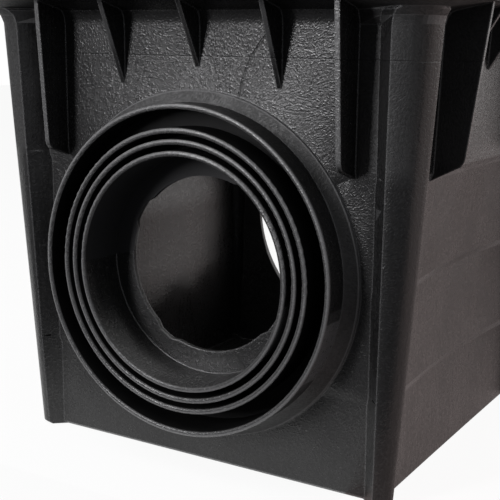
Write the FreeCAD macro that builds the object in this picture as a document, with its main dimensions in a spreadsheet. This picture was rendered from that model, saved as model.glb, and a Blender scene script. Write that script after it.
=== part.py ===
import FreeCAD, Part
import math
import os
import Sketcher
from FreeCAD import Vector

# Square moulded catch basin: stepped walls, corner columns, a ribbed flange and round pipe collars.
# One moulding. +Z is up, the collars face -Y and the origin is the middle of the base. Sizes are in mm.
SIZES = {
    # walls, given at the base and growing with height
    "panel_half": 122.5,          # middle of the basin to the outside of a wall panel
    "panel_draft": 0.0235,        # outward lean of the panels, mm per mm of height
    "column_rise": 7.5,           # how far the corner columns stand proud of the panels
    "column_draft": 0.054,        # outward lean of the columns
    "nose_radius": 9.5,           # outside round of a column
    "nose_growth": 0.031,         # growth of that round with height
    "wall": 3.3,
    "floor_thick": 4.0,
    "foot_bevel": 1.8,            # bevel round the bottom edge
    # steps, where the walls go out by one inset
    "step_inset": 1.2,
    "step_height": 5.0,
    "low_level": 62.5,
    "mid_level": 125.0,
    "high_level": 188.0,
    "inner_step_rise": 20.0,      # the steps of the inside lie this much higher
    "inner_step_height": 9.5,
    # inward dish of the two plain side walls, between the ribs and the floor
    "flat_bow": 0.3,
    "low_bow": 6.5,
    "mid_bow": 8.5,
    "high_bow": 2.0,
    "step_bow": 0.6,              # extra dish under a step
    "ledge_bow": 2.5,             # extra dish under the lowest step of the inside
    # flange and grate frame
    "flange_level": 280.0,        # underside of the flange
    "flange_thick": 5.0,
    "flange_reach": 33.2,         # past the panels
    "flange_corner": 14.0,
    "cove_height": 9.0,           # cove between the walls and the flange
    "cove_reach": 7.0,
    "seat_width": 20.2,           # from the panels to the inside of the grate frame
    "frame_wall": 4.0,
    "frame_height": 18.0,
    "frame_corner": 6.0,
    # ribs and gussets under the flange
    "rib_thick": 3.0,
    "rib_reach": 30.0,            # past the panel at the flange
    "rib_foot": 25.0,             # past the panel at the lower end
    "rib_round": 6.0,
    "front_rib_offset": 101.5,
    "front_gusset_offset": 54.0,
    "front_gusset_drop": 46.0,
    "side_rib_offset": 84.0,
    "side_gusset_offset": 47.0,
    "short_gusset_drop": 34.5,
    # collars, all on one axis
    "collar_level": 126.0,
    "collar_reach": 25.2,         # lips past the panel
    "ring_wall": 3.3,
    "outer_ring": 100.0,          # outside radii
    "second_ring": 86.0,
    "third_ring": 79.4,
    "inner_ring": 72.6,
    "lip_round": 1.2,
    "boss_radius": 108.0,
    "boss_reach": 5.8,            # past the panel
    "cone_height": 7.0,
    "web_setback": 7.3,           # web inside the innermost collar, behind the panel
    "web_thick": 3.0,
    "web_hole": 55.0,
    "back_hole": 100.0,
}
NAMES = {alias: f"Sizes.{alias}" for alias in SIZES}

doc = FreeCAD.newDocument("catch_basin")
sheet = doc.addObject("Spreadsheet::Sheet", "Sizes")
for row, (alias, value) in enumerate(SIZES.items(), start=1):
    sheet.set(f"A{row}", alias)
    sheet.set(f"B{row}", str(value))
    sheet.setAlias(f"B{row}", alias)
doc.recompute()

body = doc.addObject("PartDesign::Body", "Basin")
body.Label = "basin_body"
body.Placement = FreeCAD.Placement()


def expr(text):
    """An expression with its {names} written as cells of the sheet."""
    return text.format(**NAMES)


def value_of(text):
    return float(sheet.evalExpression(expr(text)))


def panel_at(height, steps):
    """Middle of the basin to the outside of a panel, above that many steps."""
    return f"{{panel_half}} + {{panel_draft}} * ({height}) + {steps} * {{step_inset}}"


def column_at(height):
    return f"{{panel_half}} + {{column_rise}} + {{column_draft}} * ({height})"


def nose_at(height):
    return f"{{nose_radius}} + {{nose_growth}} * ({height})"


PANEL_TOP = panel_at("{flange_level}", 3)
PANEL_AT_COLLAR = panel_at("{collar_level}", 1.5)
LIP_PLANE = f"{PANEL_AT_COLLAR} + {{collar_reach}}"
BOSS_PLANE = f"{PANEL_AT_COLLAR} + {{boss_reach}}"
WEB_PLANE = f"{PANEL_AT_COLLAR} - {{web_setback}}"
RING_ROOT = f"{WEB_PLANE} - {{web_thick}}"
FLANGE_TOP = "{flange_level} + {flange_thick}"


def new_sketch(name, role, **offset):
    """A sketch on one of the body's planes, shifted along that plane's own axes."""
    sketch = body.newObject("Sketcher::SketchObject", name)
    plane = next(item for item in body.Origin.OriginFeatures if item.Role == role)
    sketch.AttachmentSupport = [(plane, "")]
    sketch.MapMode = "FlatFace"
    for axis, text in offset.items():
        sketch.setExpression(f"AttachmentOffset.Base.{axis}", expr(text))
    return sketch


def dimension(sketch, kind, references, text):
    index = sketch.addConstraint(Sketcher.Constraint(kind, *references, value_of(text)))
    sketch.setExpression(f"Constraints[{index}]", expr(text))


def pin_point(sketch, edge, end, point):
    """Holds one end of an edge at a point, measured from the sketch's origin."""
    for kind, axis, text in (("DistanceX", -2, point[0]), ("DistanceY", -1, point[1])):
        reach = value_of(text)
        if abs(reach) < 1e-9:
            sketch.addConstraint(Sketcher.Constraint("PointOnObject", edge, end, axis))
        elif reach > 0:
            dimension(sketch, kind, (-1, 1, edge, end), text)
        else:
            dimension(sketch, kind, (edge, end, -1, 1), f"-({text})")


def outline(sketch, corners):
    """A closed counterclockwise outline: each corner is x, y and the radius of the edge that follows.

    The radius is None for a straight edge, and has a minus sign for an arc that curves inwards.
    """
    spots = [Vector(value_of(x), value_of(y), 0) for x, y, _ in corners]
    edges = []
    for index, (_, _, radius) in enumerate(corners):
        start = spots[index]
        end = spots[(index + 1) % len(spots)]
        if radius is None:
            edges.append((sketch.addGeometry(Part.LineSegment(start, end)), 1, 2))
            continue
        reach = value_of(radius)
        chord = end - start
        rise = abs(reach) - math.sqrt(reach ** 2 - chord.Length ** 2 / 4)
        middle = (start + end) / 2 + Vector(chord.y, -chord.x, 0).normalize() * math.copysign(rise, reach)
        if reach > 0:
            edge = sketch.addGeometry(Part.ArcOfCircle(start, middle, end))
            edges.append((edge, 1, 2))
            dimension(sketch, "Radius", (edge,), radius)
        else:
            edge = sketch.addGeometry(Part.ArcOfCircle(end, middle, start))
            edges.append((edge, 2, 1))
            dimension(sketch, "Radius", (edge,), f"-({radius})")
    for index, (edge, first, last) in enumerate(edges):
        following, following_first, _ = edges[(index + 1) % len(edges)]
        sketch.addConstraint(Sketcher.Constraint("Coincident", edge, last, following, following_first))
        x, y, _ = corners[index]
        pin_point(sketch, edge, first, (x, y))


def circle(sketch, x, y, radius):
    spot = Vector(value_of(x), value_of(y), 0)
    edge = sketch.addGeometry(Part.Circle(spot, Vector(0, 0, 1), value_of(radius)))
    pin_point(sketch, edge, 3, (x, y))
    dimension(sketch, "Radius", (edge,), radius)


def rounded_square(sketch, half, radius):
    side = f"{half} - ({radius})"
    outline(sketch, [
        (f"-({side})", f"-({half})", None),
        (side, f"-({half})", radius),
        (half, f"-({side})", None),
        (half, side, radius),
        (side, half, None),
        (f"-({side})", half, radius),
        (f"-({half})", side, None),
        (f"-({half})", f"-({side})", radius),
    ])


def wall_section(name, height, panel, column, nose, bow):
    """One level section: flat panels front and back, dished ones at the sides, four corner columns."""
    sketch = new_sketch(name, "XY_Plane", z=height)
    flat = f"{panel} - ({nose})"
    tip = f"{column} - ({nose})"
    dish = f"-((({flat}) ^ 2 + ({bow}) ^ 2) / (2 * ({bow})))"
    outline(sketch, [
        (f"-({flat})", f"-({panel})", None),
        (flat, f"-({panel})", None),
        (tip, f"-({column})", nose),
        (column, f"-({tip})", None),
        (panel, f"-({flat})", dish),
        (panel, flat, None),
        (column, tip, nose),
        (tip, column, None),
        (flat, panel, None),
        (f"-({flat})", panel, None),
        (f"-({tip})", column, nose),
        (f"-({column})", tip, None),
        (f"-({panel})", flat, dish),
        (f"-({panel})", f"-({flat})", None),
        (f"-({column})", f"-({tip})", nose),
        (f"-({tip})", f"-({column})", None),
    ])
    return sketch


def loft(kind, name, sections):
    doc.recompute()
    feature = body.newObject(f"PartDesign::{kind}", name)
    feature.Profile = sections[0]
    feature.Sections = sections[1:]
    feature.Ruled = True
    doc.recompute()
    return feature


def pad(sketch, name, length):
    feature = body.newObject("PartDesign::Pad", name)
    feature.Profile = sketch
    feature.setExpression("Length", expr(length))
    doc.recompute()
    return feature


def turn(kind, sketch, name):
    """A full turn of a sketch round its own horizontal axis."""
    feature = body.newObject(f"PartDesign::{kind}", name)
    feature.Profile = sketch
    feature.ReferenceAxis = (sketch, ["H_Axis"])
    feature.Angle = 360
    doc.recompute()
    return feature


# outside of the walls, from the bevelled foot to the cove under the flange: height, steps, flare, dish
COVE_START = "{flange_level} - {cove_height}"
OUTSIDE = [
    ("0", 0, "-{foot_bevel}", "{flat_bow}"),
    ("{foot_bevel}", 0, "0", "{flat_bow}"),
    ("{low_level}", 0, "0", "{low_bow} + {step_bow}"),
    ("{low_level} + {step_height}", 1, "0", "{low_bow}"),
    ("{mid_level}", 1, "0", "{mid_bow} + {step_bow}"),
    ("{mid_level} + {step_height}", 2, "0", "{mid_bow}"),
    ("{high_level}", 2, "0", "{high_bow} + {step_bow}"),
    ("{high_level} + {step_height}", 3, "0", "{high_bow}"),
    (COVE_START, 3, "0", "{flat_bow}"),
    (f"{COVE_START} + {{cove_height}} * 0.5", 3, "{cove_reach} * 0.15", "{flat_bow}"),
    (f"{COVE_START} + {{cove_height}} * 0.85", 3, "{cove_reach} * 0.5", "{flat_bow}"),
    ("{flange_level}", 3, "{cove_reach}", "{flat_bow}"),
]
sections = []
for index, (height, steps, flare, bow) in enumerate(OUTSIDE):
    panel = f"{panel_at(height, steps)} + {flare}"
    column = f"{column_at(height)} + {flare}"
    sections.append(wall_section(f"OutsideSection{index}", height, panel, column, nose_at(height), bow))
loft("AdditiveLoft", "Outside", sections)

# flange, and the upstanding frame that takes the grate
flange = new_sketch("FlangeSketch", "XY_Plane", z="{flange_level}")
rounded_square(flange, f"{PANEL_TOP} + {{flange_reach}}", "{flange_corner}")
pad(flange, "Flange", "{flange_thick}")
frame = new_sketch("FrameSketch", "XY_Plane", z=FLANGE_TOP)
rounded_square(frame, f"{PANEL_TOP} + {{seat_width}} + {{frame_wall}}", "{frame_corner} + {frame_wall}")
rounded_square(frame, f"{PANEL_TOP} + {{seat_width}}", "{frame_corner}")
pad(frame, "Frame", "{frame_height}")

# ribs and gussets, drawn in pairs on opposite walls
RIB_TIP = f"{PANEL_TOP} + {{rib_reach}}"
RIB_FOOT = f"{panel_at('{high_level}', 2)} + {{rib_foot}}"
TALL_RIB = [
    ("{panel_half}", "{high_level}", None),
    (f"{RIB_FOOT} - {{rib_round}}", "{high_level}", "{rib_round}"),
    (RIB_FOOT, "{high_level} + {rib_round}", None),
    (RIB_TIP, "{flange_level}", None),
    ("{panel_half}", "{flange_level}", None),
]


def gusset(drop):
    level = f"{{flange_level}} - {drop}"
    return [
        ("{panel_half}", level, None),
        (panel_at(level, 3), level, None),
        (RIB_TIP, "{flange_level}", None),
        ("{panel_half}", "{flange_level}", None),
    ]


def mirrored(corners):
    """The same outline on the other side of the vertical axis, kept counterclockwise."""
    last = len(corners) - 1
    return [(f"-({x})", y, corners[last - 1 - spot][2] if spot < last else corners[last][2])
            for spot, (x, y, _) in enumerate(reversed(corners))]


def rib_pair(name, role, offset, corners):
    sketch = new_sketch(name + "Sketch", role, z=offset)
    outline(sketch, corners)
    outline(sketch, mirrored(corners))
    pad(sketch, name, "{rib_thick}").SideType = "Symmetric"
    doc.recompute()


for wall_name, role, prefix, drop in (
    ("Front", "YZ_Plane", "front", "{front_gusset_drop}"),
    ("Side", "XZ_Plane", "side", "{short_gusset_drop}"),
):
    for side, sign in (("A", ""), ("B", "-")):
        rib_pair(f"{wall_name}Rib{side}", role, f"{sign}{{{prefix}_rib_offset}}", TALL_RIB)
        rib_pair(f"{wall_name}Gusset{side}", role, f"{sign}{{{prefix}_gusset_offset}}", gusset(drop))
    rib_pair(f"{wall_name}MiddleGusset", role, "0", gusset("{short_gusset_drop}"))


# collars: drawn as height over the axis against the way out of the wall
def ring_corners(outside):
    inside = f"{outside} - {{ring_wall}}"
    return [
        (f"-({LIP_PLANE})", inside, None),
        (f"-({RING_ROOT})", inside, None),
        (f"-({RING_ROOT})", outside, None),
        (f"-({LIP_PLANE})", outside, None),
    ]


CONE_PLANE = f"{BOSS_PLANE} + {{cone_height}}"
collars = new_sketch("CollarSketch", "YZ_Plane", y="{collar_level}")
outline(collars, [
    (f"-({LIP_PLANE})", "{outer_ring} - {ring_wall}", None),
    (f"-({RING_ROOT})", "{outer_ring} - {ring_wall}", None),
    (f"-({RING_ROOT})", "{boss_radius}", None),
    (f"-({BOSS_PLANE})", "{boss_radius}", None),
    (f"-({CONE_PLANE})", "{outer_ring}", None),
    (f"-({LIP_PLANE})", "{outer_ring}", None),
])
outline(collars, ring_corners("{second_ring}"))
outline(collars, ring_corners("{third_ring}"))
turn("Revolution", collars, "Collars")

# inside of the walls: height, steps, dish
INNER_LOW = "{low_level} + {inner_step_rise}"
INNER_MID = "{mid_level} + {inner_step_rise}"
INNER_HIGH = "{high_level} + {inner_step_rise}"
INSIDE = [
    ("{floor_thick}", 0, "{flat_bow}"),
    (INNER_LOW, 0, "{low_bow} + {ledge_bow}"),
    (f"{INNER_LOW} + {{inner_step_height}}", 1, "({low_bow} + {mid_bow}) / 2"),
    ("{mid_level} + {step_height} / 2", 1, "{mid_bow} + {step_bow} / 2"),
    (INNER_MID, 1, "{mid_bow} - {step_bow}"),
    (f"{INNER_MID} + {{inner_step_height}}", 2, "({mid_bow} + {high_bow}) / 2 + {step_bow}"),
    (INNER_HIGH, 2, "{high_bow}"),
    (f"{INNER_HIGH} + {{inner_step_height}}", 3, "{high_bow} * 0.7"),
    (f"{FLANGE_TOP} + 1", 3, "{flat_bow}"),
]
sections = []
for index, (height, steps, bow) in enumerate(INSIDE):
    panel = f"{panel_at(height, steps)} - {{wall}}"
    column = f"{column_at(height)} - {{wall}}"
    nose = f"{nose_at(height)} - sqrt(2) * {{wall}}"
    sections.append(wall_section(f"InsideSection{index}", height, panel, column, nose, bow))
loft("SubtractiveLoft", "Inside", sections)

# innermost collar and the web across it, then its way through
tube = new_sketch("TubeSketch", "YZ_Plane", y="{collar_level}")
outline(tube, [
    (f"-({LIP_PLANE})", "{inner_ring} - {ring_wall}", None),
    (f"-({WEB_PLANE})", "{inner_ring} - {ring_wall}", None),
    (f"-({WEB_PLANE})", "{web_hole} - 1", None),
    (f"-({RING_ROOT})", "{web_hole} - 1", None),
    (f"-({RING_ROOT})", "{inner_ring}", None),
    (f"-({LIP_PLANE})", "{inner_ring}", None),
])
turn("Revolution", tube, "Tube")
bore = new_sketch("BoreSketch", "YZ_Plane", y="{collar_level}")
outline(bore, [
    (f"-({LIP_PLANE}) - 1", "0", None),
    (f"-({RING_ROOT}) + {{wall}}", "0", None),
    (f"-({RING_ROOT}) + {{wall}}", "{web_hole}", None),
    (f"-({WEB_PLANE})", "{web_hole}", None),
    (f"-({WEB_PLANE})", "{inner_ring} - {ring_wall}", None),
    (f"-({LIP_PLANE}) - 1", "{inner_ring} - {ring_wall}", None),
])
turn("Groove", bore, "Bore")

# plain round opening in the wall behind
opening = new_sketch("OpeningSketch", "YZ_Plane", y="{collar_level}")
outline(opening, [
    (f"{PANEL_AT_COLLAR} - 4 * {{wall}}", "0", None),
    (f"{PANEL_AT_COLLAR} + 4 * {{wall}}", "0", None),
    (f"{PANEL_AT_COLLAR} + 4 * {{wall}}", "{back_hole}", None),
    (f"{PANEL_AT_COLLAR} - 4 * {{wall}}", "{back_hole}", None),
])
turn("Groove", opening, "Opening")

# rounded lips
lip_plane = -value_of(LIP_PLANE)
lip_edges = [f"Edge{number}" for number, edge in enumerate(body.Shape.Edges, start=1)
             if isinstance(edge.Curve, Part.Circle) and abs(edge.Curve.Center.y - lip_plane) < 1e-3]
lips = body.newObject("PartDesign::Fillet", "Lips")
lips.Base = (body.Tip if body.Tip != lips else lips.BaseFeature, lip_edges)
lips.setExpression("Radius", expr("{lip_round}"))
doc.recompute()

for item in doc.Objects:
    if "Invalid" in item.State or "Error" in item.State:
        raise RuntimeError(f"{item.Name}: {item.State}")
if body.Shape.isNull() or not body.Shape.isValid() or len(body.Shape.Solids) != 1:
    raise RuntimeError("basin_body is not one valid solid")
os.makedirs("parts", exist_ok=True)
body.Shape.exportStep(f"parts/{body.Label}.step")
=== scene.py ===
import math
import bmesh
import bpy
import numpy as np
from mathutils import Matrix, Vector


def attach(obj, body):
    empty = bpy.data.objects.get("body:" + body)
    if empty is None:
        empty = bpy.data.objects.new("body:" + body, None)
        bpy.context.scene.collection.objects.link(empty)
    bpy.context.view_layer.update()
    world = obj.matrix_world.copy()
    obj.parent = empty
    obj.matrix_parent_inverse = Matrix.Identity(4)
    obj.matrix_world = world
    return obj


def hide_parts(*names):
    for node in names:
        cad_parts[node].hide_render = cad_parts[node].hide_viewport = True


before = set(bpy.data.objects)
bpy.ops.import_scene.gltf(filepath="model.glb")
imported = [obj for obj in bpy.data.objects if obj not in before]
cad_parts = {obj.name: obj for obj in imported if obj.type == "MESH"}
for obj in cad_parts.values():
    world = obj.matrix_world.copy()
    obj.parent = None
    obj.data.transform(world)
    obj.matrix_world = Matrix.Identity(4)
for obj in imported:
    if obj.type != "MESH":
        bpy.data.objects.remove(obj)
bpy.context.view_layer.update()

MM = 0.001
scene = bpy.context.scene
scene.view_settings.view_transform = "Standard"
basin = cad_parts["basin_body"]

# camera at the photo's viewing angle
CAMERA_SPOT = Vector((0.33774, -0.65294, 0.26021))
CAMERA_TURN = math.radians(31.811)
CAMERA_PITCH = math.radians(11.2)
CAMERA_ROLL = math.radians(0.833)
CAMERA_LENS = 75.272
CAMERA_SHIFT = 0.068
SENSOR = 36
NEAREST = 0.01


def make_camera():
    flat = math.cos(CAMERA_PITCH)
    forward = Vector((-math.sin(CAMERA_TURN) * flat, math.cos(CAMERA_TURN) * flat, -math.sin(CAMERA_PITCH)))
    level = Vector((math.cos(CAMERA_TURN), math.sin(CAMERA_TURN), 0))
    upright = level.cross(forward)
    right = math.cos(CAMERA_ROLL) * level + math.sin(CAMERA_ROLL) * upright
    up = math.cos(CAMERA_ROLL) * upright - math.sin(CAMERA_ROLL) * level
    lens = bpy.data.cameras.new("camera")
    lens.sensor_width = SENSOR
    lens.lens = CAMERA_LENS
    lens.shift_x = CAMERA_SHIFT
    lens.clip_start = NEAREST
    camera = bpy.data.objects.new("camera", lens)
    turn = Matrix((right, up, -forward)).transposed().to_4x4()
    camera.matrix_world = Matrix.Translation(CAMERA_SPOT) @ turn
    scene.collection.objects.link(camera)
    scene.camera = camera


# form of the CAD body, in mm
PANEL, DRAFT, INSET, STEPS = 122.5, 0.0235, 1.2, 3
FLANGE_LEVEL, FLANGE_EDGE = 280.0, 160.0
COLLAR_LEVEL, COLLAR_STEPS = 126.0, 1.5
RINGS = (100.0, 86.0, 79.4, 72.6)
OUTER_RING = RINGS[0]
BOSS, BOSS_FACE, BOSS_ROOT, CONE_HEIGHT = 108.0, -133.06, -120.0, 7.0
WEB_HOLE, BACK_HOLE = 55.0, 100.0
RIB_HALF, RIB_ROOT, RIB_CLEAR = 1.6, 3.0, 1.0
RIB_FOOT, RIB_STRAIGHT = 188.0, 194.0
RIB_FOOT_REACH, RIB_TOP_REACH = 23.64, 30.0
SKIN = 12.0
COLUMN_FROM, COLUMN_STAND = 106.0, 0.8
NEAR = 0.05

# finer form that the photo shows, in mm
# ribs: offset and shift of the tall ones, their reach at the foot and at the top, and the gussets,
# each with its offset, shift, lower end, rise of that end and reach at the top
SHORT_GUSSET = (0, 0, 245.5, 1, 21.7)
FRONT_RIBS = ((101.5, -0.7), (18.9, 25.3), ((54, 0.5, 234, 1.5, 22.6), SHORT_GUSSET))
SIDE_RIBS = ((84, 0), (17.8, 26.0), ((47, 0, 245.5, 1, 21.7), SHORT_GUSSET))
FOOT_RISE, FOOT_SLOPE, GUSSET_END = 1.4, 4.5, 4.0
STEP_DROPS = ((62.5, 3.9), (67.5, 3.9), (125.0, 3.5), (130.0, 3.5), (188.0, 3.6), (193.0, 3.6))
LEDGE_TOPS = (67.5, 130.0, 193.0)
LEDGE, PANEL_HALF_WIDTH = 1.4, 105.0
COLUMN_LEAN, COLUMN_FOOT = 0.0118, -0.5
SLIM_BOSS, CONE_END, RIM_STAND, RIM_LEAN = 107.2, -134.8, 2.0, math.radians(2.3)
NOTCH_DEPTH, NOTCH_HALF = 2.0, 8.9
NOTCH_TURNS = (60, 150, 240, 330)
# a guess: no edge of the flange is in the photo, so the underside rises out of its view there
FLANGE_RISE = 4.2
MERGE, SHARP_ANGLE = 0.002, math.radians(24)


def wall_at(level, steps=STEPS):
    """Middle of the basin to the outside of a wall, above that many steps."""
    return PANEL + DRAFT * level + INSET * steps


def slim_ribs(points, moved, out, along, ribs):
    """Ribs of one pair of walls: less reach past the wall, and a rising lower end on the tall ones."""
    (tall_offset, tall_shift), (foot, reach), gussets = ribs
    level = points[:, 2]
    wall = wall_at(level)
    side, past = np.sign(points[:, out]), np.abs(points[:, out]) - wall
    hand, offset = np.sign(points[:, along]), np.abs(points[:, along])
    on_wall = (past > -RIB_ROOT) & (level < FLANGE_LEVEL + NEAR)
    free = past > RIB_CLEAR
    rib = on_wall & (np.abs(offset - tall_offset) < RIB_HALF) & (level > RIB_FOOT - 2 * NEAR)
    moved[rib, along] += (hand * tall_shift)[rib]
    up = np.clip((level - RIB_STRAIGHT) / (FLANGE_LEVEL - RIB_STRAIGHT), 0, 1)
    cad_reach = RIB_FOOT_REACH + up * (RIB_TOP_REACH - RIB_FOOT_REACH)
    slim = past * (foot + up * (reach - foot)) / cad_reach
    moved[rib & free, out] = (side * (wall + slim))[rib & free]
    end = rib & free & (level < RIB_STRAIGHT + 1)
    moved[end, 2] += (FOOT_RISE + FOOT_SLOPE * slim / foot)[end]
    for middle, shift, start, rise, tip in gussets:
        rib = on_wall & (np.abs(offset - middle) < RIB_HALF) & (level > start - 0.5)
        moved[rib, along] += (hand * shift)[rib]
        moved[rib & free, out] = (side * (wall + past * tip / RIB_TOP_REACH))[rib & free]
        moved[rib & (level < start + GUSSET_END), 2] += rise


def lower_steps(points, moved, radius):
    """Steps of the outside, away from the ribs and the openings: lower, with a ledge on the side walls."""
    x, y, level = points.T
    on_side = np.abs(x) > np.abs(y)
    still = np.abs(moved - points).max(axis=1) < 1e-6
    still &= np.abs(points[:, :2]).max(axis=1) > wall_at(level, 0) - SKIN
    still &= (radius > np.where(y < 0, BOSS - 0.3, BACK_HOLE + 0.5)) | on_side
    for height, drop in STEP_DROPS:
        step = still & (np.abs(level - height) < 0.06)
        moved[step, 2] -= drop
        if height in LEDGE_TOPS:
            dish = LEDGE * np.clip(1 - (y / PANEL_HALF_WIDTH) ** 2, 0, 1)
            moved[step & on_side, 0] += (np.sign(x) * dish)[step & on_side]
        rim = step & (np.abs(radius - BOSS) < 0.3) & (y < 0)
        moved[rim, 0] = np.sign(x[rim]) * np.sqrt(BOSS ** 2 - (moved[rim, 2] - COLLAR_LEVEL) ** 2)


def lean_columns(points, moved):
    """Corner columns that stand further out towards the flange."""
    level = points[:, 2]
    for axis in (0, 1):
        far = np.abs(points[:, axis]) > wall_at(level) + COLUMN_STAND
        column = far & (np.abs(points[:, 1 - axis]) > COLUMN_FROM) & (level < FLANGE_LEVEL - 2 * NEAR)
        moved[column, axis] += (np.sign(points[:, axis]) * (COLUMN_LEAN * level + COLUMN_FOOT))[column]


def flatten_boss(points, moved, radius):
    """Boss with a low rim that leans with the wall, and a cone up to the outer collar."""
    y, level = points[:, 1], points[:, 2]
    rim = -(wall_at(COLLAR_LEVEL, COLLAR_STEPS) + math.tan(RIM_LEAN) * (level - COLLAR_LEVEL) + RIM_STAND)
    share = (BOSS - radius) / (BOSS - OUTER_RING)
    cone = (np.abs(y - BOSS_FACE + CONE_HEIGHT * share) < 0.2) & (share > -0.02) & (share < 1.02)
    moved[cone, 1] = (rim + share * (CONE_END - rim))[cone]
    boss = cone | ((np.abs(radius - BOSS) < 0.2) & (y < BOSS_ROOT))
    slim = 1 - (1 - SLIM_BOSS / BOSS) * (1 - share)
    moved[boss, 0] *= slim[boss]
    moved[boss, 2] = COLLAR_LEVEL + ((moved[:, 2] - COLLAR_LEVEL) * slim)[boss]


def thin_flange(points, moved):
    """Underside of the flange, which rises towards the edge."""
    edge = np.abs(points[:, 2] - FLANGE_LEVEL) < NEAR
    edge &= np.abs(points[:, :2]).max(axis=1) > FLANGE_EDGE
    moved[edge, 2] += FLANGE_RISE


def cut_notches(points, moved, radius):
    """Shallow notches round the hole of the web."""
    x, y, level = points.T
    turn = np.degrees(np.arctan2(level - COLLAR_LEVEL, x))
    off = np.min([np.abs((turn - notch + 180) % 360 - 180) for notch in NOTCH_TURNS], axis=0)
    notch = (np.abs(radius - WEB_HOLE) < 2 * NEAR) & (y < 0) & (off < NOTCH_HALF)
    grow = 1 + NOTCH_DEPTH / WEB_HOLE
    moved[notch, 0] *= grow
    moved[notch, 2] = COLLAR_LEVEL + (moved[notch, 2] - COLLAR_LEVEL) * grow


def refined(points):
    """The corners of the CAD body, in mm, moved to the finer form."""
    moved = points.copy()
    radius = np.hypot(points[:, 0], points[:, 2] - COLLAR_LEVEL)
    slim_ribs(points, moved, 1, 0, FRONT_RIBS)
    slim_ribs(points, moved, 0, 1, SIDE_RIBS)
    lower_steps(points, moved, radius)
    lean_columns(points, moved)
    flatten_boss(points, moved, radius)
    thin_flange(points, moved)
    cut_notches(points, moved, radius)
    return moved


# where the plastic is darkened as painted shade and has less gloss, as radii round the collars and depths
# along their axis, in mm
GAP_RADII, GAP_DEPTHS = (72.7, 97.0), (-149.9, -60.0)
TUBE_RADII, TUBE_DEPTHS = (56.0, 69.6), (-148.0, -112.0)


def in_painted_shade(spot):
    """True in the gaps between the collars, and in the upper half of the tube and its web."""
    radius = math.hypot(spot.x, spot.z - COLLAR_LEVEL)
    in_gap = GAP_RADII[0] < radius < GAP_RADII[1] and GAP_DEPTHS[0] < spot.y < GAP_DEPTHS[1]
    in_tube = TUBE_RADII[0] < radius < TUBE_RADII[1] and TUBE_DEPTHS[0] < spot.y < TUBE_DEPTHS[1]
    return in_gap or (in_tube and spot.z > COLLAR_LEVEL)


def make_shell():
    """The basin as it is shown: the CAD body's own mesh, refined, with its plastic, and the plastic darkened
    as painted shade in the gaps and the tube.
    """
    mesh = basin.data.copy()
    mesh.name = "basin_shell"
    shape = bmesh.new()
    shape.from_mesh(mesh)
    bmesh.ops.remove_doubles(shape, verts=shape.verts, dist=MERGE * MM)
    shape.to_mesh(mesh)
    shape.free()
    corners = np.empty(3 * len(mesh.vertices))
    mesh.vertices.foreach_get("co", corners)
    mesh.vertices.foreach_set("co", (refined(corners.reshape(-1, 3) / MM) * MM).ravel())
    if "custom_normal" in mesh.attributes:
        mesh.attributes.remove(mesh.attributes["custom_normal"])
    mesh.shade_smooth()
    mesh.set_sharp_from_angle(angle=SHARP_ANGLE)
    mesh.update()
    mesh.materials.clear()
    mesh.materials.append(polypropylene())
    mesh.materials.append(painted_shade_plastic())
    # faces between the collars and in the tube's upper half take the painted-shade material
    for face in mesh.polygons:
        face.material_index = int(in_painted_shade(face.center / MM))
    shell = bpy.data.objects.new("basin_shell", mesh)
    scene.collection.objects.link(shell)
    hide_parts("basin_body")
    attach(shell, "root")


# tones of the plastic
DARK_TONE = (0.001, 0.001, 0.0011, 1)
LIGHT_TONE = (0.016, 0.0158, 0.0161, 1)
# lighter tone: wear and painted highlight on edges, painted highlight and light on lips, boss rim and ledges,
# and lighter rib fronts
WEAR_AND_HIGHLIGHT_TONE = (0.16, 0.16, 0.162, 1)
# dark tone of the parting line and of the curved line over the boss
LINE_MARK_TONE = (0.001, 0.001, 0.001, 1)
# painted shade: tone of the gaps between the collars and of the tube, and below it the lighter painted tone
# inside the tube
PAINTED_SHADE_TONE = (0.006, 0.006, 0.0062, 1)
TUBE_TONE = (0.02, 0.02, 0.021, 1)
PLASTIC_IOR = 1.5

# places of the finish, in mm: a pair goes from where it is absent to where it is full, and four
# values go on to where it is still full and where it ends
EDGE_ROUND, BUMP_DEPTH = 1.4, 0.22
PARTING_LEVEL, PARTING_HALF = 252.5, 0.5
ARC_X, ARC_Z, ARC_RADIUS, ARC_HALF = 93.5, 219.1, 66.2, 0.8
ARC_LEVELS, ARC_WIDTHS = (228, 231, 265, 267), (24, 27, 47, 50)
LIP_FACE, LIP_INSIDE = (-150, -151), (102, 100.5)
LIP_LINE, LIP_LINE_HALF, LIP_DIM = 0.9, 1.1, 0.2
BOSS_FRONT, BOSS_RADII = (-124, -125), (99.9, 100.3, 107.0, 107.4)
RIM_LINE, RIM_LINE_HALF = 106.9, 0.7
RIB_FRONT, RIB_LEVELS = (140, 144), (188, 190)
PAST_COLLARS, BEFORE_COLUMNS = (101, 103), (106, 104.5)
BY_COLUMNS, CORNER_LEVELS = (103, 105), (185, 200)
TUBE_INSIDE = (71.5, 70.5)

# how much of the lighter tone each place takes: wear and painted highlight on edges, painted highlights on
# the collar lips and the boss rim, painted light on the side-wall ledges, and lighter rib fronts
EDGE_WEAR_AND_HIGHLIGHT, LIP_HIGHLIGHT, LEDGE_LIGHT, RIM_HIGHLIGHT, RIB_LIGHTENING = 0.6, 0.6, 0.5, 0.5, 0.35
LINE_MARK_SHARE, LINE_MARK_DEPTH, ARC_STRENGTH = 0.45, 0.5, 2.0
# roughness of the dark and the light grain, and what the boss and the wall by the columns add to it
DARK_ROUGH, LIGHT_ROUGH, BOSS_ROUGH, CORNER_ROUGH = 0.38, 0.25, 0.25, 0.3


def mm(*lengths):
    return [length * MM for length in lengths]


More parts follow.
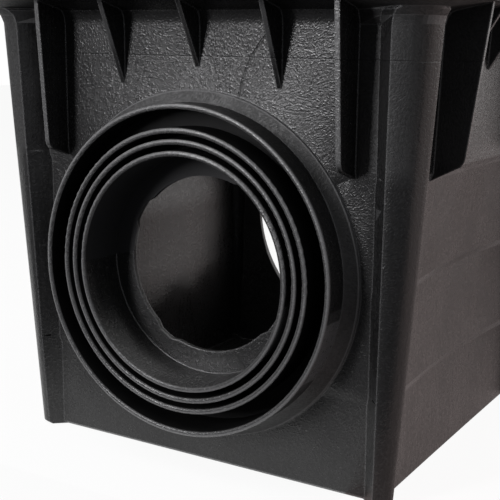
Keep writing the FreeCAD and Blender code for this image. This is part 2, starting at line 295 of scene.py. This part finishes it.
class Nodes:
    """Short ways to write a node tree: values go to a node's sockets, and other nodes' outputs are linked."""

    def __init__(self, tree):
        self.tree = tree
        tree.nodes.clear()

    def add(self, kind, output=0, settings=(), **sockets):
        node = self.tree.nodes.new(kind)
        for name, value in dict(settings).items():
            setattr(node, name, value)
        for name, value in sockets.items():
            self.put(node, name.replace("_", " "), value)
        return node.outputs[output]

    def put(self, node, name, value):
        socket = node.inputs[name]
        if isinstance(value, bpy.types.NodeSocket):
            self.tree.links.new(value, socket)
        else:
            socket.default_value = value

    def math(self, operation, *values, clamp=False):
        node = self.tree.nodes.new("ShaderNodeMath")
        node.operation = operation
        node.use_clamp = clamp
        for spot, value in enumerate(values):
            self.put(node, spot, value)
        return node.outputs[0]

    def chain(self, operation, values):
        total, *others = values
        for value in others:
            total = self.math(operation, total, value)
        return total

    def sum(self, *values):
        return self.chain("ADD", values)

    def times(self, *values):
        return self.chain("MULTIPLY", values)

    def highest(self, *values):
        return self.chain("MAXIMUM", values)

    def size(self, value):
        return self.math("ABSOLUTE", value)

    def ramp(self, value, low, high, to_low=0.0, to_high=1.0):
        """A smooth change from to_low at low to to_high at high."""
        node = self.tree.nodes.new("ShaderNodeMapRange")
        node.interpolation_type = "SMOOTHSTEP"
        for spot, item in enumerate((value, low, high, to_low, to_high)):
            self.put(node, spot, item)
        return node.outputs[0]

    def between(self, value, start, full, still, end):
        """1 from full to still, and 0 before start and past end."""
        return self.times(self.ramp(value, start, full), self.ramp(value, end, still))

    def line(self, value, middle, half_width):
        """1 in the middle of a thin line, 0 past its half width."""
        off = self.size(self.math("SUBTRACT", value, middle))
        return self.ramp(off, 0.3 * half_width, half_width, 1, 0)

    def vector(self, operation, first, second, output="Vector"):
        node = self.tree.nodes.new("ShaderNodeVectorMath")
        node.operation = operation
        self.put(node, 0, first)
        self.put(node, 1, second)
        return node.outputs[output]

    def axes(self, vector):
        return [self.add("ShaderNodeSeparateXYZ", axis, Vector=vector) for axis in "XYZ"]

    def distance(self, x, z, from_x, from_z):
        """How far a place is from an axis that runs from front to back."""
        sides = [self.math("SUBTRACT", x, from_x), self.math("SUBTRACT", z, from_z)]
        return self.math("SQRT", self.sum(*(self.times(side, side) for side in sides)))

    def blend(self, amount, first, second):
        node = self.tree.nodes.new("ShaderNodeMixRGB")
        for spot, value in enumerate((amount, first, second)):
            self.put(node, spot, value)
        return node.outputs[0]

    def noise(self, point, scale, detail=2.0, roughness=0.5, distortion=0.0):
        return self.add("ShaderNodeTexNoise", Vector=point, Scale=scale, Detail=detail,
                        Roughness=roughness, Distortion=distortion)

    def finish(self, kind, surface):
        self.put(self.tree.nodes.new(kind), "Surface", surface)


def new_nodes(owner):
    owner.use_nodes = True
    return Nodes(owner.node_tree)


def flow_grain(n, point, on_front, on_side):
    """Grain whose direction wanders over the walls, with vertical drag marks on the sides."""
    x, y, z = n.axes(point)
    across = n.math("ADD", n.times(x, on_front), n.times(y, on_side))
    flat = n.add("ShaderNodeCombineXYZ", X=across, Y=z)
    wander = n.noise(flat, scale=11, detail=2, roughness=0.5, distortion=0.8)
    swirl = n.add("ShaderNodeTexGabor", "Value", Vector=flat, Scale=520, Frequency=1.2, Anisotropy=0.8,
                  Orientation=n.math("MULTIPLY", wander, 11.0))
    upright = n.vector("MULTIPLY", point, (1, 1, 0.03))
    drag = n.noise(upright, scale=620, detail=3, roughness=0.6)
    fine = n.noise(point, scale=560, detail=2, roughness=0.6, distortion=0.6)
    return n.sum(
        n.times(n.math("SUBTRACT", swirl, 0.5), on_front, 0.9),
        n.times(n.math("SUBTRACT", drag, 0.5), n.ramp(on_side, 0, 1, 0.3, 1.3)),
        n.times(n.math("SUBTRACT", fine, 0.5), 2.2),
    )


def parting_line_and_arc(n, x, z, ny):
    """A parting line all round, and a short dark curved line over the boss."""
    curve = n.distance(x, z, *mm(ARC_X, ARC_Z))
    arc = n.times(n.line(curve, *mm(ARC_RADIUS, ARC_HALF)), n.ramp(ny, -0.9, -0.97),
                  n.between(z, *mm(*ARC_LEVELS)), n.between(x, *mm(*ARC_WIDTHS)))
    return n.highest(n.line(z, *mm(PARTING_LEVEL, PARTING_HALF)), n.times(arc, ARC_STRENGTH))


def wear_and_painted_highlights(n, place, normal, around, on_side, bend):
    """Lighter places: edges, with wear and painted highlight; painted highlights along the lips of the
    collars and on the rim of the boss; painted light on the downward ledges of the side walls; and lighter
    front edges of the ribs.
    """
    x, y, z = place
    nx, ny, nz = normal
    # edges: wear mixed with painted highlight, on hollow edges as well as outer ones
    edge = n.ramp(bend, 0.995, 0.86)
    # painted highlight: bright lines along the lips of the collars, with a dimmer band on the rest of each
    # lip
    bright = n.sum(*(n.line(around, *mm(ring - LIP_LINE, LIP_LINE_HALF)) for ring in RINGS))
    lip = n.times(n.ramp(y, *mm(*LIP_FACE)), n.ramp(around, *mm(*LIP_INSIDE)),
                  n.ramp(bright, 0, 1, LIP_DIM, 1.0))
    # painted light: the downward faces of the side-wall ledges made lighter
    ledge = n.times(on_side, n.ramp(nz, -0.1, -0.2), n.ramp(nz, -0.6, -0.5))
    # painted highlight: a bright line on the rim of the boss
    rim = n.times(n.line(around, *mm(RIM_LINE, RIM_LINE_HALF)), n.ramp(y, *mm(*BOSS_FRONT)))
    rib = n.times(n.ramp(n.size(ny), 0.85, 0.95), n.ramp(n.size(y), *mm(*RIB_FRONT)),
                  n.ramp(z, *mm(*RIB_LEVELS)), n.ramp(around, *mm(*PAST_COLLARS)),
                  n.ramp(n.size(x), *mm(*BEFORE_COLUMNS)))
    return n.highest(n.times(edge, EDGE_WEAR_AND_HIGHLIGHT), n.times(lip, LIP_HIGHLIGHT), n.times(ledge, LEDGE_LIGHT),
                     n.times(rim, RIM_HIGHLIGHT), n.times(rib, RIB_LIGHTENING))


def polypropylene():
    """Black moulded plastic: flow grain, drag marks, a parting line and a dark curved line over the boss,
    edges with wear and painted highlight, and painted highlights and light on the lips, boss rim and
    side-wall ledges.
    """
    material = bpy.data.materials.new("black_polypropylene")
    n = new_nodes(material)
    point = n.add("ShaderNodeTexCoord", "Object")
    facing = n.add("ShaderNodeNewGeometry", "True Normal")
    x, y, z = place = n.axes(point)
    nx, ny, nz = normal = n.axes(facing)
    on_side = n.ramp(n.size(nx), 0.6, 0.8)
    on_front = n.math("SUBTRACT", 1.0, on_side)
    around = n.distance(x, z, *mm(0, COLLAR_LEVEL))

    grain = flow_grain(n, point, on_front, on_side)
    clouds = n.noise(point, scale=16, detail=4, roughness=0.6, distortion=0.4)
    tone = n.math("ADD", n.ramp(clouds, 0.25, 0.75, 0.3, 0.7), grain, clamp=True)
    shade = n.add("ShaderNodeValToRGB", Fac=tone)
    dark, light = shade.node.color_ramp.elements
    dark.color = DARK_TONE
    light.color = LIGHT_TONE

    soft = n.add("ShaderNodeBevel", 0, {"samples": 4}, Radius=EDGE_ROUND * MM)
    bend = n.vector("DOT_PRODUCT", soft, facing, output="Value")
    # painted highlights and light, mixed with wear on the edges
    worn_and_lit = n.blend(wear_and_painted_highlights(n, place, normal, around, on_side, bend), shade, WEAR_AND_HIGHLIGHT_TONE)
    line_marks = parting_line_and_arc(n, x, z, ny)
    color = n.blend(n.math("MULTIPLY", line_marks, LINE_MARK_SHARE, clamp=True), worn_and_lit, LINE_MARK_TONE)
    height = n.math("SUBTRACT", n.times(grain, 0.5), n.times(line_marks, LINE_MARK_DEPTH))
    bump = n.add("ShaderNodeBump", Strength=1.0, Distance=BUMP_DEPTH * MM, Height=height, Normal=soft)

    # less gloss on the boss and on the wall by the columns, to match the photo's light and shade
    on_boss = n.times(n.ramp(y, *mm(*BOSS_FRONT)), n.between(around, *mm(*BOSS_RADII)))
    corner = n.times(on_front, n.ramp(n.size(x), *mm(*BY_COLUMNS)), n.ramp(z, *mm(*CORNER_LEVELS)))
    rough = n.sum(n.ramp(tone, 0.1, 0.9, DARK_ROUGH, LIGHT_ROUGH), n.times(on_boss, BOSS_ROUGH),
                  n.times(corner, CORNER_ROUGH))
    n.finish("ShaderNodeOutputMaterial", n.add("ShaderNodeBsdfPrincipled", Base_Color=color,
                                               Roughness=rough, IOR=PLASTIC_IOR, Normal=bump))
    return material


def painted_shade_plastic():
    """The same plastic with less gloss and darkened as painted shade, between the collars and in the tube;
    inside the tube's upper half a lighter painted tone.
    """
    material = bpy.data.materials.new("painted_shade_polypropylene")
    n = new_nodes(material)
    point = n.add("ShaderNodeTexCoord", "Object")
    x, y, z = n.axes(point)
    around = n.distance(x, z, *mm(0, COLLAR_LEVEL))
    # painted shade: dark tone in the gaps, lighter painted tone inside the tube
    deep = n.blend(n.noise(point, scale=90, detail=3), DARK_TONE, PAINTED_SHADE_TONE)
    shade = n.blend(n.ramp(around, *mm(*TUBE_INSIDE)), deep, TUBE_TONE)
    n.finish("ShaderNodeOutputMaterial", n.add("ShaderNodeBsdfPrincipled", Base_Color=shade, Roughness=0.6,
                                               IOR=PLASTIC_IOR, Specular_IOR_Level=0.12))
    return material


# studio, in metres
WHITE = (1, 1, 1, 1)
FLOOR_SIZE, FLOOR_TONE, FLOOR_GLOW = 8, (0.86, 0.86, 0.86, 1), 0.92
WORLD_LIGHT, WORLD_SEEN = 0.3, 1.0
# name, middle, turn in degrees, size and shade
CARDS = (
    ("card_front", (0, -2.4, 1.2), (90, 0, 0), (5.5, 2.4), (0.14, 0.145, 0.155, 1)),
    ("card_right", (2.3, -1.5, 1.2), (90, 0, 90), (2.0, 2.4), (0.6, 0.61, 0.64, 1)),
    ("card_above", (0, -0.6, 2.4), (0, 0, 0), (5.0, 4.0), (0.26, 0.25, 0.245, 1)),
    ("card_below", (0, -1.3, 0.0005), (0, 0, 0), (5.0, 2.2), (0.11, 0.11, 0.115, 1)),
    ("card_behind", (1.3, 1.1, 0.0005), (0, 0, 0), (2.4, 2.6), (0.5, 0.42, 0.41, 1)),
)


def seen_directly(n):
    """1 for rays that show a background: from the camera, in reflections and through clear parts."""
    path = n.add("ShaderNodeLightPath").node
    return n.highest(*(path.outputs[f"Is {kind} Ray"] for kind in ("Camera", "Glossy", "Transmission")))


def make_floor():
    """A white floor, most of whose look is its own white and the rest the light on it."""
    bpy.ops.mesh.primitive_plane_add(size=FLOOR_SIZE)
    floor = bpy.context.object
    floor.name = "floor"
    white = bpy.data.materials.new("white_floor")
    n = new_nodes(white)
    paper = n.add("ShaderNodeBsdfDiffuse", Color=FLOOR_TONE)
    glow = n.add("ShaderNodeEmission", Color=WHITE, Strength=1.0)
    mixed = n.add("ShaderNodeMixShader", Fac=n.times(seen_directly(n), FLOOR_GLOW))
    n.put(mixed.node, 1, paper)
    n.put(mixed.node, 2, glow)
    n.finish("ShaderNodeOutputMaterial", mixed)
    floor.data.materials.append(white)


def make_card(name, spot, turn, size, shade):
    """A grey card that the camera does not see, for the gloss of the plastic to show."""
    angles = [math.radians(angle) for angle in turn]
    bpy.ops.mesh.primitive_plane_add(size=1, location=spot, rotation=angles)
    card = bpy.context.object
    card.name = name
    card.scale = (*size, 1)
    card.visible_camera = card.visible_shadow = False
    tint = bpy.data.materials.new(name)
    n = new_nodes(tint)
    n.finish("ShaderNodeOutputMaterial", n.add("ShaderNodeEmission", Color=shade, Strength=1.0))
    card.data.materials.append(tint)


def make_world():
    world = bpy.data.worlds.new("studio")
    scene.world = world
    n = new_nodes(world)
    strength = n.ramp(seen_directly(n), 0, 1, WORLD_LIGHT, WORLD_SEEN)
    n.finish("ShaderNodeOutputWorld", n.add("ShaderNodeBackground", Color=WHITE, Strength=strength))


def softbox(name, spot, aim, size, power, color=(1, 1, 1)):
    lamp = bpy.data.lights.new(name, "AREA")
    lamp.shape = "RECTANGLE"
    lamp.size, lamp.size_y = size
    lamp.energy = power
    lamp.color = color
    holder = bpy.data.objects.new(name, lamp)
    holder.location = spot
    holder.rotation_euler = (Vector(aim) - Vector(spot)).to_track_quat("-Z", "Y").to_euler()
    scene.collection.objects.link(holder)


make_camera()
make_shell()
make_floor()
for row in CARDS:
    make_card(*row)
make_world()
softbox("key", (-0.64, -1.65, 0.58), (0.02, -0.14, 0.24), (0.26, 0.7), 25, (0.99, 0.98, 1.0))
softbox("top", (-0.45, -0.7, 1.65), (0, -0.1, 0.25), (1.2, 1.2), 15)
softbox("right", (1.3, 1.7, 0.5), (0.13, 0.0, 0.15), (1.7, 1.4), 3, (1.0, 0.84, 0.82))
